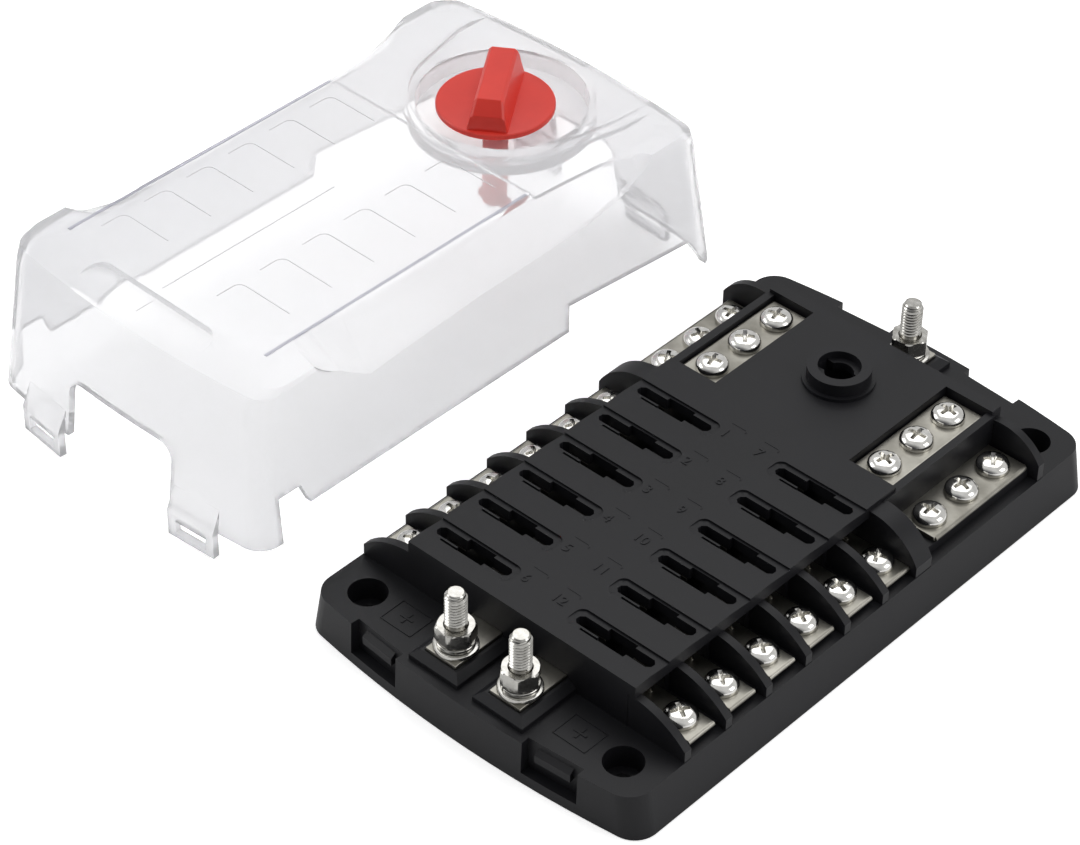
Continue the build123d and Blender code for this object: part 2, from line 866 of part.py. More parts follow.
def locking_knob():
    """Disc with a bar handle above; stem with a bayonet foot below."""
    disc_bottom = knob_disc_top - knob_disc_thickness
    hub_bottom = well_floor + knob_lift
    collar_top = well_floor - cover_wall - knob_lift
    collar_bottom = collar_top - snap_height
    body = extrude(Circle(knob_disc_radius), knob_disc_thickness)
    body = chamfer(body.edges().group_by(Axis.Z)[-1], 0.6)
    body = Pos(0, 0, disc_bottom) * body
    body += rod(0, 0, hub_bottom, disc_bottom + 0.5, knob_hub_radius)
    body += rod(0, 0, collar_bottom, hub_bottom + 0.5, stem_radius)
    collar = Rectangle((stem_radius + snap_reach) * 2, stem_radius)
    collar &= Circle(stem_radius + snap_reach)
    body += Pos(0, 0, collar_bottom) * extrude(collar, snap_height)
    body += rod(0, 0, foot_bottom, collar_bottom + 0.5, stem_lower_radius)
    foot = Rectangle(foot_reach * 2, foot_width) & Circle(foot_reach)
    body += Pos(0, 0, foot_bottom) * extrude(foot, foot_height)
    # Bar handle, wider at its base, with a sloping nose
    half = handle_length / 2
    base = Rectangle(handle_base_width, handle_length)
    top = Pos(0, 0, handle_height) * Rectangle(handle_top_width, handle_length - 1)
    bar = loft([base.face(), top.face()], ruled=True)
    nose = make_face(
        Polyline(
            (-half - 1, handle_height * 0.45),
            (-half + handle_nose, handle_height + 0.1),
            (-half - 1, handle_height + 0.1),
            close=True,
        )
    )
    bar -= extrude(Plane.YZ * nose, handle_base_width, both=True)
    body += Rot(0, 0, handle_turn) * (Pos(0, 0, knob_disc_top - 0.3) * bar)
    return Pos(0, knob_y, 0) * body


def beside(shape):
    """Set a piece of the cover down beside the base."""
    return Pos(cover_x, cover_y, 0) * Rot(0, 0, cover_turn) * shape


def build_pieces():
    pieces = {"base_housing": base_housing(), "negative_bus": negative_bus()}
    pieces["positive_bus_left"] = positive_bus(-1)
    pieces["positive_bus_right"] = positive_bus(1)
    number = 1
    for side in (-1, 1):
        for y in reversed(cell_y):
            pieces[f"output_terminal_{number}"] = output_terminal(side, y)
            pieces[f"output_screw_{number}"] = small_screw(side * screw_x, y, tab_top, tab_thickness)
            number += 1
    number = 1
    for x, seat in [(inner_strip_x, inner_strip_top), (outer_screw_x, outer_strip_top)]:
        for side in (-1, 1):
            for y in reversed(bus_y):
                pieces[f"ground_screw_{number}"] = small_screw(side * x, y, seat, bus_thickness)
                number += 1
    studs = [
        ("positive_left", -stud_x, -stud_y, stud_plate_top, stud_plate_thickness),
        ("positive_right", stud_x, -stud_y, stud_plate_top, stud_plate_thickness),
        ("negative", 0, stud_y, outer_strip_top, bus_thickness),
    ]
    for name, x, y, top, thickness in studs:
        lock_z = top + flat_washer_thickness
        nut_z = lock_z + lock_washer_thickness
        pieces[f"stud_{name}"] = stud(x, y, top, thickness)
        pieces[f"flat_washer_{name}"] = ring(x, y, top, flat_washer_radius, flat_washer_thickness)
        pieces[f"spring_washer_{name}"] = ring(
            x, y, lock_z, lock_washer_radius, lock_washer_thickness
        )
        pieces[f"nut_{name}"] = stud_nut(x, y, nut_z)
    pieces["clear_cover"] = beside(clear_cover())
    pieces["locking_knob"] = beside(locking_knob())
    return pieces


for name, shape in build_pieces().items():
    export_step(shape, f"parts/{name}.step")
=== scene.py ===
import math
import random

import bmesh
import bpy
from mathutils import Euler, Matrix, Vector


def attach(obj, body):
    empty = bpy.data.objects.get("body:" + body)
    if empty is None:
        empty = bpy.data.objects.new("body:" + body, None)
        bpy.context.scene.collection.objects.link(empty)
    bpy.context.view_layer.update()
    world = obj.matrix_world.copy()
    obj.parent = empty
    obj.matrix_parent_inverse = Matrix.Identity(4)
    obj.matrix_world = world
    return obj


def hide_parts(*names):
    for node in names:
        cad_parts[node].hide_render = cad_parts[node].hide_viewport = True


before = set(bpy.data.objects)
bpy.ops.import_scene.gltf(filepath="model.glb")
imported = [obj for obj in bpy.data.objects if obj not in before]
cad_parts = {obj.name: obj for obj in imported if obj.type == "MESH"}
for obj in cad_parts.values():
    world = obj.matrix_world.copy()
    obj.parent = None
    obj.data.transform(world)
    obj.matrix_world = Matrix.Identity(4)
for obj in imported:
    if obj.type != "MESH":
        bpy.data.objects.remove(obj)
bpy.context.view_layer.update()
random.seed(12)

# Driving sizes in millimetres, in the same frame as the part
MM = 0.001
SIDES = (-1, 1)
DECK_TOP = 23.5
FLANGE_TOP = 11.2
CELL_COUNT = 6
CELL_PITCH = 13.0
CELL_Y = [-53.9 + CELL_PITCH * i for i in range(CELL_COUNT)]
BUS_Y = [29.9 + 11.4 * i for i in range(3)]
OUTPUT_X = 38.5
OUTPUT_SEAT = 13.5
# The negative bus has an upper and a lower strip on each side: (middle, height of its plate)
UPPER_STRIP = (25.0, 21.5)
LOWER_STRIP = (38.3, 14.8)
# Top of the plain foot of the clips, above which they stand in their chamber and their plates are painted
# dark as painted shade
TERMINAL_CLIP_SHADE_Z = 14.2
BUS_CLIP_SHADE_Z = 15.2
COVER_TOP = 48.0
COVER_STEP_TOP = 47.2
COVER_RECESS_TOP = 46.1
COVER_PLATEAU_END = 21.0
KNOB_Y = 44.3


def at(x, y, z):
    """Point in metres from millimetres."""
    return (x * MM, y * MM, z * MM)


def polar(radius, angle, z):
    """Point in metres from a radius and height in millimetres and an angle round Z."""
    return (radius * MM * math.cos(angle), radius * MM * math.sin(angle), z * MM)


def turn_z(degrees, size=4):
    """Turn about Z, as a matrix of four rows for a place or three for a mesh."""
    return Matrix.Rotation(math.radians(degrees), size, "Z")


# The cover stands beside the base, a little askew, with the knob's axis in it
COVER_PLACE = Matrix.Translation(at(-109.15, 2.2, 0.0)) @ turn_z(-0.8)
KNOB_PLACE = COVER_PLACE @ Matrix.Translation(at(0.0, KNOB_Y, 0.0))


# Materials

def new_material(name):
    """Material with its one Principled shader; returns the material, its nodes, links and shader."""
    material = bpy.data.materials.new(name)
    material.use_nodes = True
    nodes = material.node_tree.nodes
    links = material.node_tree.links
    shader = nodes["Principled BSDF"]
    return material, nodes, links, shader


def noise(nodes, links, scale, detail, stretch=None):
    """Factor of a noise in object space, so that it stays with the piece in every pose."""
    place = nodes.new("ShaderNodeTexCoord")
    texture = nodes.new("ShaderNodeTexNoise")
    texture.inputs["Scale"].default_value = scale
    texture.inputs["Detail"].default_value = detail
    if stretch:
        mapping = nodes.new("ShaderNodeMapping")
        mapping.inputs["Scale"].default_value = stretch
        links.new(place.outputs["Object"], mapping.inputs["Vector"])
        links.new(mapping.outputs["Vector"], texture.inputs["Vector"])
    else:
        links.new(place.outputs["Object"], texture.inputs["Vector"])
    return texture.outputs["Fac"]


def ramp(nodes, links, source, low, high, colours):
    """Colour that goes from one tone to another between two positions of a factor."""
    node = nodes.new("ShaderNodeValToRGB")
    for element, position, colour in zip(node.color_ramp.elements, (low, high), colours):
        element.position = position
        element.color = (*colour, 1.0)
    links.new(source, node.inputs["Fac"])
    return node.outputs["Color"]


def tint(nodes, links, shader, source, low, high, tones):
    """Base colour that wanders between two tones."""
    links.new(ramp(nodes, links, source, low, high, tones), shader.inputs["Base Color"])


def spread(nodes, links, source, low, high, target):
    """Carries a factor from 0 to 1 to a socket, as a value between low and high."""
    node = nodes.new("ShaderNodeMapRange")
    node.inputs["To Min"].default_value = low
    node.inputs["To Max"].default_value = high
    links.new(source, node.inputs["Value"])
    links.new(node.outputs["Result"], target)


def add_bump(nodes, links, shader, height, strength, distance):
    """Fine relief, its depth in metres."""
    bump = nodes.new("ShaderNodeBump")
    bump.inputs["Strength"].default_value = strength
    bump.inputs["Distance"].default_value = distance
    links.new(height, bump.inputs["Height"])
    links.new(bump.outputs["Normal"], shader.inputs["Normal"])


def moulded_black():
    """Satin black moulding with the fine grain of an eroded tool."""
    material, nodes, links, shader = new_material("moulded_black")
    grain = noise(nodes, links, 5200.0, 2.0)
    cloud = noise(nodes, links, 60.0, 4.0)
    tint(nodes, links, shader, cloud, 0.3, 0.7, ((0.0070, 0.0070, 0.0086), (0.0100, 0.0100, 0.0122)))
    spread(nodes, links, cloud, 0.38, 0.50, shader.inputs["Roughness"])
    shader.inputs["IOR"].default_value = 1.52
    shader.inputs["Specular IOR Level"].default_value = 0.26
    add_bump(nodes, links, shader, grain, 0.30, 0.00004)
    return material


def brushed_plate(name):
    """Nickel plate, faintly brushed along its length."""
    material, nodes, links, shader = new_material(name)
    brush = noise(nodes, links, 900.0, 3.0, stretch=(6.0, 0.35, 1.0))
    cloud = noise(nodes, links, 130.0, 4.0)
    tint(nodes, links, shader, cloud, 0.32, 0.68, ((0.25, 0.24, 0.21), (0.44, 0.425, 0.38)))
    shader.inputs["Metallic"].default_value = 1.0
    spread(nodes, links, brush, 0.24, 0.40, shader.inputs["Roughness"])
    add_bump(nodes, links, shader, brush, 0.16, 0.00003)
    return material


def clip_plate_painted_shade(name, painted_shade_z):
    """Nickel plate whose sprung clips, above a height, are painted dark: painted shade of their chamber."""
    shade_fade = 0.6
    # Painted shade: the dark tone that stands in for the shadow in the clips' chamber
    dark = (0.035, 0.033, 0.030, 1.0)
    material = brushed_plate(name)
    nodes = material.node_tree.nodes
    links = material.node_tree.links
    shader = nodes["Principled BSDF"]
    bright = shader.inputs["Base Color"].links[0].from_socket
    place = nodes.new("ShaderNodeTexCoord")
    split = nodes.new("ShaderNodeSeparateXYZ")
    links.new(place.outputs["Object"], split.inputs["Vector"])
    # Mask of the painted shade, rising from the clips' foot over a short height
    height = nodes.new("ShaderNodeMapRange")
    height.inputs["From Min"].default_value = painted_shade_z * MM
    height.inputs["From Max"].default_value = (painted_shade_z + shade_fade) * MM
    links.new(split.outputs["Z"], height.inputs["Value"])
    # Mix of the plate's own tone with the painted shade
    tone = nodes.new("ShaderNodeMix")
    tone.data_type = "RGBA"
    tone.inputs["B"].default_value = dark
    links.new(height.outputs["Result"], tone.inputs["Factor"])
    links.new(bright, tone.inputs["A"])
    links.new(tone.outputs["Result"], shader.inputs["Base Color"])
    return material


def bright_steel(name, tones, smoothest, roughest):
    """Bright plated fastener, with small dull patches from the plating."""
    material, nodes, links, shader = new_material(name)
    cloud = noise(nodes, links, 700.0, 4.0)
    tint(nodes, links, shader, cloud, 0.3, 0.7, tones)
    shader.inputs["Metallic"].default_value = 1.0
    spread(nodes, links, cloud, smoothest, roughest, shader.inputs["Roughness"])
    add_bump(nodes, links, shader, cloud, 0.08, 0.00004)
    return material


def clear_plastic(name, tones):
    """Clear moulding, milky with haze, with the flow marks of a thin wall."""
    material, nodes, links, shader = new_material(name)
    flow = noise(nodes, links, 22.0, 3.0, stretch=(1.0, 0.3, 1.0))
    tint(nodes, links, shader, flow, 0.3, 0.7, tones)
    shader.inputs["Transmission Weight"].default_value = 0.70
    shader.inputs["IOR"].default_value = 1.22
    shader.inputs["Roughness"].default_value = 0.08
    add_bump(nodes, links, shader, flow, 0.05, 0.0006)
    return material


def knob_red():
    """Red moulding with a fine satin grain."""
    material, nodes, links, shader = new_material("knob_red")
    grain = noise(nodes, links, 4200.0, 2.0)
    cloud = noise(nodes, links, 90.0, 3.0)
    tint(nodes, links, shader, cloud, 0.3, 0.7, ((0.66, 0.030, 0.018), (0.74, 0.038, 0.022)))
    shader.inputs["Roughness"].default_value = 0.38
    shader.inputs["Subsurface Weight"].default_value = 0.12
    shader.inputs["Subsurface Radius"].default_value = (0.0016, 0.0004, 0.0003)
    add_bump(nodes, links, shader, grain, 0.22, 0.00004)
    return material


black = moulded_black()
plate = brushed_plate("nickel_plate")
# Plates whose clips are painted dark above these heights, as painted shade of their chamber
terminal_plate_painted_shade = clip_plate_painted_shade("terminal_plate_painted_shade", TERMINAL_CLIP_SHADE_Z)
bus_plate_painted_shade = clip_plate_painted_shade("bus_plate_painted_shade", BUS_CLIP_SHADE_Z)
screw_metal = bright_steel("plated_screw", ((0.72, 0.71, 0.68), (0.88, 0.87, 0.84)), 0.08, 0.20)
stud_metal = bright_steel("stud_steel", ((0.46, 0.45, 0.42), (0.64, 0.63, 0.60)), 0.12, 0.26)
clear = clear_plastic("clear_plastic", ((0.962, 0.962, 0.977), (0.980, 0.980, 0.988)))
# Darker lavender clear tone: painted shade standing in for the refracted edge line along the raised top
clear_edge_painted_shade = clear_plastic("clear_edge_painted_shade", ((0.70, 0.70, 0.77), (0.78, 0.78, 0.84)))
red = knob_red()


# The solids of the part, each with its material

def dress(name, material):
    """Gives a CAD node its material."""
    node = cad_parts[name]
    node.data.materials.clear()
    node.data.materials.append(material)
    return node


def soften(node, width, segments=2):
    """Small rounded edges, as a moulding or a stamped sheet has them, their width in millimetres."""
    weld = node.modifiers.new("weld", "WELD")
    weld.merge_threshold = 0.002 * MM
    bevel = node.modifiers.new("soft_edges", "BEVEL")
    bevel.width = width * MM
    bevel.segments = segments
    bevel.limit_method = "ANGLE"
    bevel.angle_limit = math.radians(28.0)
    bevel.use_clamp_overlap = True
    normals = node.modifiers.new("even_normals", "WEIGHTED_NORMAL")
    normals.keep_sharp = False
    normals.weight = 100


soften(dress("base_housing", black), 0.34)
soften(dress("negative_bus", plate), 0.22)
for word in ("left", "right"):
    soften(dress(f"positive_bus_{word}", bus_plate_painted_shade), 0.22)
for number in range(1, 2 * CELL_COUNT + 1):
    soften(dress(f"output_terminal_{number}", terminal_plate_painted_shade), 0.28)
soften(dress("clear_cover", clear), 0.5, 3)
dress("locking_knob", red)


# Building pieces

def finished(name, mesh_data, material, body, place=None):
    """Object from mesh data, set in place, riding on its body."""
    obj = bpy.data.objects.new(name, mesh_data)
    bpy.context.scene.collection.objects.link(obj)
    if place is not None:
        obj.matrix_world = place
    if not mesh_data.materials:
        mesh_data.materials.append(material)
    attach(obj, body)
    return obj


def to_mesh(name, bm, smooth_angle=32.0):
    """Mesh from a bmesh, smooth but for its sharp edges."""
    bmesh.ops.recalc_face_normals(bm, faces=bm.faces)
    limit = math.radians(smooth_angle)
    for face in bm.faces:
        face.smooth = True
    for edge in bm.edges:
        if len(edge.link_faces) == 2 and edge.calc_face_angle(0.0) > limit:
            edge.smooth = False
    data = bpy.data.meshes.new(name)
    bm.to_mesh(data)
    bm.free()
    return data


def ring(bm, radius, z, steps):
    """Circle of points round Z."""
    return [bm.verts.new(polar(radius, 2.0 * math.pi * k / steps, z)) for k in range(steps)]


def bridge(bm, rows, closed=True):
    """Faces between rows of points; a closed row also joins its last point to its first."""
    for low, high in zip(rows, rows[1:]):
        for k in range(len(low) if closed else len(low) - 1):
            after = (k + 1) % len(low)
            bm.faces.new((low[k], low[after], high[after], high[k]))


def bar(bm, rows):
    """Bar through closed rows of points, with an end face on the first and the last."""
    bridge(bm, rows)
    bm.faces.new(rows[0])
    bm.faces.new(list(reversed(rows[-1])))


def turned(bm, profile, steps):
    """Revolves a profile of (radius, z) points round Z; a radius of zero closes it."""
    rows = []
    for radius, z in profile:
        rows.append(ring(bm, radius, z, steps) if radius else [bm.verts.new(at(0.0, 0.0, z))])
    for low, high in zip(rows, rows[1:]):
        for k in range(steps):
            after = (k + 1) % steps
            if len(low) == 1:
                bm.faces.new((low[0], high[k], high[after]))
            elif len(high) == 1:
                bm.faces.new((low[k], high[0], low[after]))
            else:
                bm.faces.new((low[k], high[k], high[after], low[after]))


def carved(data, cutter_bm, name):
    """Mesh data less a cutter."""
    cutter_data = bpy.data.meshes.new("cutter")
    bmesh.ops.recalc_face_normals(cutter_bm, faces=cutter_bm.faces)
    cutter_bm.to_mesh(cutter_data)
    cutter_bm.free()
    body = bpy.data.objects.new("carving", data)
    cutter = bpy.data.objects.new("cutter", cutter_data)
    bpy.context.scene.collection.objects.link(body)
    bpy.context.scene.collection.objects.link(cutter)
    cut = body.modifiers.new("cut", "BOOLEAN")
    cut.operation = "DIFFERENCE"
    cut.solver = "EXACT"
    cut.object = cutter
    graph = bpy.context.evaluated_depsgraph_get()
    result = bpy.data.meshes.new_from_object(body.evaluated_get(graph))
    result.name = name
    bpy.data.objects.remove(body)
    bpy.data.objects.remove(cutter)
    return result


# Pan-head screws with a cross recess

def recess_arm(degrees):
    """Cutter for one arm of the cross recess: a bar that is shorter and narrower at its foot."""
    half_length = 5.3 / 2
    half_width = 1.25 / 2
    top = 3.2
    foot = 0.9
    taper = 1.2
    narrowing = 0.35
    least_half_width = 0.12
    cutter = bmesh.new()
    verts = []
    for z, shrink in ((top, 0.0), (foot, taper)):
        reach = half_length - shrink
        side = max(half_width - shrink * narrowing, least_half_width)
        for sx, sy in ((-1, -1), (1, -1), (1, 1), (-1, 1)):
            verts.append(cutter.verts.new(at(sx * reach, sy * side, z)))
    cutter.faces.new(verts[0:4])
    cutter.faces.new(verts[4:8])
    for k in range(4):
        after = (k + 1) % 4
        cutter.faces.new((verts[k], verts[after], verts[4 + after], verts[4 + k]))
    bmesh.ops.rotate(cutter, verts=cutter.verts, cent=(0, 0, 0), matrix=turn_z(degrees, 3))
    return cutter


def recess_centre():
    """Cutter for the pointed middle of the cross recess."""
    cutter = bmesh.new()
    bmesh.ops.create_cone(
        cutter, cap_ends=True, segments=20, radius1=0.35 * MM, radius2=1.15 * MM, depth=2.6 * MM,
        matrix=Matrix.Translation(at(0.0, 0.0, 2.0)),
    )
    return cutter


def screw_mesh():
    """Head on its seat at z 0, threaded shank below."""
    # Domed top, rounded shoulder, short upright side, small radius at the seat
    profile = [(0.0, 2.58), (1.0, 2.56), (1.8, 2.48), (2.55, 2.32), (3.12, 2.05), (3.52, 1.7), (3.78, 1.3)]
    profile += [(3.9, 0.9), (3.94, 0.45), (3.9, 0.12), (3.78, 0.0), (1.95, 0.0)]
    crest_r = 1.88
    root_r = 1.62
    pitch = 0.7
    depth = -0.1
    thread_end = -5.0
    while depth > thread_end:
        profile += [(crest_r, depth), (root_r, depth - pitch * 0.5)]
        depth -= pitch
    profile += [(1.4, -5.2), (0.0, -5.2)]
    bm = bmesh.new()
    turned(bm, profile, 40)
    data = to_mesh("screw_blank", bm, 34.0)
    for cutter in (recess_arm(0.0), recess_arm(90.0), recess_centre()):
        data = carved(data, cutter, "pan_screw")
    data.materials.clear()
    data.materials.append(screw_metal)
    return data


SCREW = screw_mesh()


def place_screw(name, x, y, seat):
    """One screw in its place, turned as it happened to be driven, replacing its plain solid."""
    turn = random.uniform(0.0, math.pi / 2)
    place = Matrix.Translation(at(x, y, seat)) @ Matrix.Rotation(turn, 4, "Z")
    screw = finished(f"{name}_detail", SCREW, screw_metal, "base", place)
    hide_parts(name)


number = 1
for side in SIDES:
    for y in reversed(CELL_Y):
        place_screw(f"output_screw_{number}", side * OUTPUT_X, y, OUTPUT_SEAT)
        number += 1
number = 1
for x, seat in (UPPER_STRIP, LOWER_STRIP):
    for side in SIDES:
        for y in reversed(BUS_Y):
            place_screw(f"ground_screw_{number}", side * x, y, seat)
            number += 1


# Studs, nuts and washers

def stud_mesh(thickness):
    """Threaded stud with its head under a plate of a thickness; z 0 is the top of the plate."""
    steps = 36
    pitch = 0.8
    crest_r = 2.5
    root_r = 2.06
    plain_r = 2.44
    plain_ring = 3.0
    thread_from = 6.3
    tip = 15.5
    # The thread runs out into a cone over the last stretch
    run_out = 0.8
    run_out_slope = 0.8
    run_out_r = 1.75
    head_r = 4.0
    head_edge = 0.15
    head_top = -thickness
    head_foot = head_top - 1.4
    bm = bmesh.new()
    # Thread as a helical skin: each step of the turn lifts the profile by one part of the pitch
    rows = []
    for k in range(int((tip - thread_from) / pitch * steps) + 1):
        angle = 2.0 * math.pi * k / steps
        z = thread_from + pitch * k / steps
        crest = crest_r
        past = z + pitch - (tip - run_out)
        if past > 0.0:
            crest = max(run_out_r, crest_r - past * run_out_slope)
        root = min(root_r, crest)
        row = []
        for radius, rise in ((root, 0.0), (crest, 0.34), (crest, 0.46), (root, pitch)):
            row.append(bm.verts.new(polar(radius, angle, min(z + rise, tip))))
        rows.append(row)
    bridge(bm, rows, closed=False)
    # Core inside the thread, tip, plain root and head
    profile = [(0.0, tip), (1.72, tip), (2.04, tip - 0.35), (root_r, thread_from), (plain_r, thread_from)]
    profile += [(plain_r, plain_ring), (plain_r, head_top), (3.9, head_top), (head_r, head_top - head_edge)]
    profile += [(head_r, head_foot + head_edge), (3.85, head_foot), (0.0, head_foot)]
    turned(bm, profile, steps)
    return to_mesh("stud", bm, 30.0)


def nut_mesh():
    """Hex nut with both faces and both mouths of its bore chamfered, z 0 at its foot."""
    steps = 72
    half_flats = 4.0
    height = 4.0
    bore_r = 2.52
    mouth_r = 2.75
    mouth_depth = 0.35
    cone_r = 4.62
    cone_slope = 1.35
    bm = bmesh.new()
    rows = []
    # Height of each ring, and how far up the chamfer's cone it lies
    lower = [(0.0, 0.42), (0.22, 0.12), (0.5, 0.0)]
    levels = lower + [(height - z, cut) for z, cut in reversed(lower)]
    for z, cut in levels:
        row = []
        for k in range(steps):
            angle = 2.0 * math.pi * k / steps
            from_flat = (angle + math.pi / 6) % (math.pi / 3) - math.pi / 6
            reach = half_flats / math.cos(from_flat)
            # The cone bites the corners and spares the middle of each flat
            if cut:
                reach = min(reach, cone_r - cut * cone_slope)
            row.append(bm.verts.new(polar(reach, angle, z)))
        rows.append(row)
    bore = [(mouth_r, height), (bore_r, height - mouth_depth), (bore_r, mouth_depth), (mouth_r, 0.0)]
    rows += [ring(bm, radius, z, steps) for radius, z in bore]
    bridge(bm, rows + rows[:1])
    return to_mesh("nut", bm, 24.0)


def split_washer_mesh():
    """Spring washer: one turn of square wire whose ends stand a little apart."""
    steps = 60
    gap = math.radians(7.0)
    inner = 2.62
    outer = 4.3
    thick = 1.08
    rise = 0.22
    corner = 0.12
    section = [
        (inner + corner, 0.0), (outer - corner, 0.0), (outer, corner), (outer, thick - corner),
        (outer - corner, thick), (inner + corner, thick), (inner, thick - corner), (inner, corner),
    ]
    bm = bmesh.new()
    rows = []
    for k in range(steps + 1):
        part = k / steps
        angle = gap / 2 + (2.0 * math.pi - gap) * part
        rows.append([bm.verts.new(polar(radius, angle, z + rise * part)) for radius, z in section])
    bar(bm, rows)
    return to_mesh("spring_washer", bm, 30.0)


def flat_washer_mesh():
    """Pressed flat washer with a rolled upper edge."""
    section = [(2.68, 0.08), (2.76, 0.0), (4.9, 0.0), (5.0, 0.1), (5.0, 0.78), (4.94, 0.93), (4.78, 1.0)]
    section += [(2.8, 1.0), (2.68, 0.88)]
    bm = bmesh.new()
    rows = [ring(bm, radius, z, 56) for radius, z in section]
    bridge(bm, rows + rows[:1])
    return to_mesh("flat_washer", bm, 30.0)


NUT = nut_mesh()
SPRING = split_washer_mesh()
FLAT = flat_washer_mesh()
SPRING_FOOT = 1.0
NUT_FOOT = 2.3

# Name, place on the base, top and thickness of its plate, and the turn that it stands at in degrees
STUDS = [
    ("positive_left", -9.25, -71.0, 14.6, 1.5, 24.0),
    ("positive_right", 9.25, -71.0, 14.6, 1.5, -11.0),
    ("negative", 0.0, 71.0, 14.8, 1.2, 8.0),
]


def on_stud(kind, name, data, place):
    """One piece of a stud's stack, replacing its plain solid."""
    piece = finished(f"{kind}_{name}_detail", data, stud_metal, "base", place)
    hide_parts(f"{kind}_{name}")


def above(place, height, degrees):
    """Place higher up the stud, turned a little further."""
    return place @ Matrix.Translation(at(0.0, 0.0, height)) @ turn_z(degrees)


for name, x, y, top, thickness, turn in STUDS:
    place = Matrix.Translation(at(x, y, top)) @ turn_z(turn)
    on_stud("stud", name, stud_mesh(thickness), place)
    on_stud("flat_washer", name, FLAT, place)
    on_stud("spring_washer", name, SPRING, above(place, SPRING_FOOT, turn * 5 - 40))
    on_stud("nut", name, NUT, above(place, NUT_FOOT, turn * 2 + 9))


# Raised marks on the housing: numbers, label lines and plus signs

def number_mark(text, x, y):
    """Raised figure on the deck."""
    curve = bpy.data.curves.new(f"number_{text}", "FONT")
    curve.body = text
    curve.size = 3.8 * MM
    curve.extrude = 0.16 * MM
    curve.bevel_depth = 0.0
    curve.align_x = "CENTER"
    curve.align_y = "CENTER"
    curve.resolution_u = 3
    holder = bpy.data.objects.new("number_source", curve)
    bpy.context.scene.collection.objects.link(holder)
    graph = bpy.context.evaluated_depsgraph_get()
    data = bpy.data.meshes.new_from_object(holder.evaluated_get(graph))
    bpy.data.objects.remove(holder)
    data.materials.clear()
    place = Matrix.Translation(at(x, y, DECK_TOP))
    finished(f"number_mark_{text}", data, black, "base", place)


def raised_line(bm, points, width, z0, z1):
    """Low ridge of even width along a flat run of points, a little narrower at its top."""
    half = width / 2
    top_inset = 0.16
    sharpest_turn = 0.4
    rows = []
    for k, (x, y) in enumerate(points):
        before = Vector(points[max(k - 1, 0)])
        after = Vector(points[min(k + 1, len(points) - 1)])
        here = Vector((x, y))
        first = (here - before).normalized() if k > 0 else (after - here).normalized()
        last = (after - here).normalized() if k < len(points) - 1 else first
        along = (first + last).normalized()
        side = Vector((-along.y, along.x))
        reach = half / max(side.dot(Vector((-first.y, first.x))), sharpest_turn)
        left = here + side * reach
        right = here - side * reach
        inset = (left - right) * top_inset
        corners = [(left, z0), (left - inset, z1), (right + inset, z1), (right, z0)]
        rows.append([bm.verts.new(at(corner.x, corner.y, z)) for corner, z in corners])
    bar(bm, rows)


NUMBER_X = (-6.3, 3.4)
NUMBER_Y = 1.2
for i in range(CELL_COUNT):
    y = CELL_Y[CELL_COUNT - 1 - i] + NUMBER_Y
    number_mark(str(i + 1), NUMBER_X[0], y)
    number_mark(str(i + 1 + CELL_COUNT), NUMBER_X[1], y)

# Beside each number a line across the deck, which turns down at its end
LABEL_X = (-7.4, 2.0)
LABEL_Y = 5.1
LABEL_LENGTH = 4.4
LABEL_CORNER = 0.4
LABEL_DROP = 0.9
LABEL_WIDTH = 0.26
lines = bmesh.new()
for y in CELL_Y:
    for x in LABEL_X:
        end = x + LABEL_LENGTH
        line = y + LABEL_Y
        points = [(x, line), (end - LABEL_CORNER, line), (end, line - LABEL_CORNER), (end, line - LABEL_DROP)]
        raised_line(lines, points, LABEL_WIDTH, DECK_TOP - 0.1, DECK_TOP + 0.08)
finished("label_lines", to_mesh("label_lines", lines), black, "base")


def rolled_lip(bm, x, y0, y1, z_top, side):
    """Half-round edge of a stamped strip, along Y, bulging away from the middle."""
    radius = 0.7
    squash = 0.8
    sunk = 0.02
    steps = 8
    rows = []
    for y in (y0, y1):
        row = []
        for k in range(steps + 1):
            angle = math.pi / 2 - math.pi * k / steps
            across = x + side * radius * squash * math.cos(angle)
            z = z_top - radius + sunk + radius * math.sin(angle)
            row.append(bm.verts.new(at(across, y, z)))
        rows.append(row)
    bar(bm, rows)


# Outer edge of each strip of the bus and of each terminal plate
LOWER_LIP_X = 43.35
UPPER_LIP_X = 30.25
BUS_ENDS = (25.4, 58.1)
TERMINAL_LIP_X = 44.05
TERMINAL_HALF = 4.0
bus_lips = bmesh.new()
terminal_lips = bmesh.new()
for side in SIDES:
    rolled_lip(bus_lips, side * LOWER_LIP_X, *BUS_ENDS, LOWER_STRIP[1], side)
    rolled_lip(bus_lips, side * UPPER_LIP_X, *BUS_ENDS, UPPER_STRIP[1], side)
    for y in CELL_Y:
        ends = (y - TERMINAL_HALF, y + TERMINAL_HALF)
        rolled_lip(terminal_lips, side * TERMINAL_LIP_X, *ends, OUTPUT_SEAT, side)
finished("negative_bus_lips", to_mesh("negative_bus_lips", bus_lips, 40.0), plate, "base")
finished("terminal_lips", to_mesh("terminal_lips", terminal_lips, 40.0), plate, "base")


